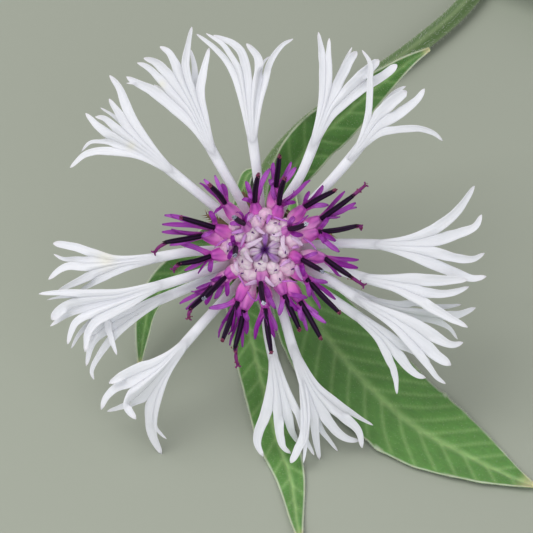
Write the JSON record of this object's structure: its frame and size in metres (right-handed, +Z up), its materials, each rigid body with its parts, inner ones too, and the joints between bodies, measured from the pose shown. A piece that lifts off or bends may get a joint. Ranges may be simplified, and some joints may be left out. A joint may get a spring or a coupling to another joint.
{
  "type": "mountain cornflower",
  "caption": "Cut mountain cornflower lying on a surface: fringed white ray florets round a tuft of purple disc florets, a scaly green involucre, a curved stem and lance-shaped leaves.",
  "frame": {"origin": "middle of the small flat spot under the straight end of the stem, on the surface the flower lies on", "axes": "+Z up from the surface, +Y along the straight end of the stem towards its cut end, +X to the right seen from above; the bloom is at the -Y end and faces -Y and up"},
  "size_m": [0.1303, 0.2036, 0.0551],
  "materials": {
    "bract_green": "matte",
    "ray_white": "matte",
    "disc_purple": "satin",
    "stem_green": "matte",
    "leaf_green": "matte"
  },
  "bodies": {
    "root": {"involucre": "bract_green", "ray_florets": "ray_white", "disc_florets": "disc_purple", "stem": "stem_green", "leaf_1": "leaf_green", "leaf_2": "leaf_green", "leaf_3": "leaf_green", "leaf_4": "leaf_green", "leaf_5": "leaf_green", "leaf_6": "leaf_green"}
  },
  "joints": []
}
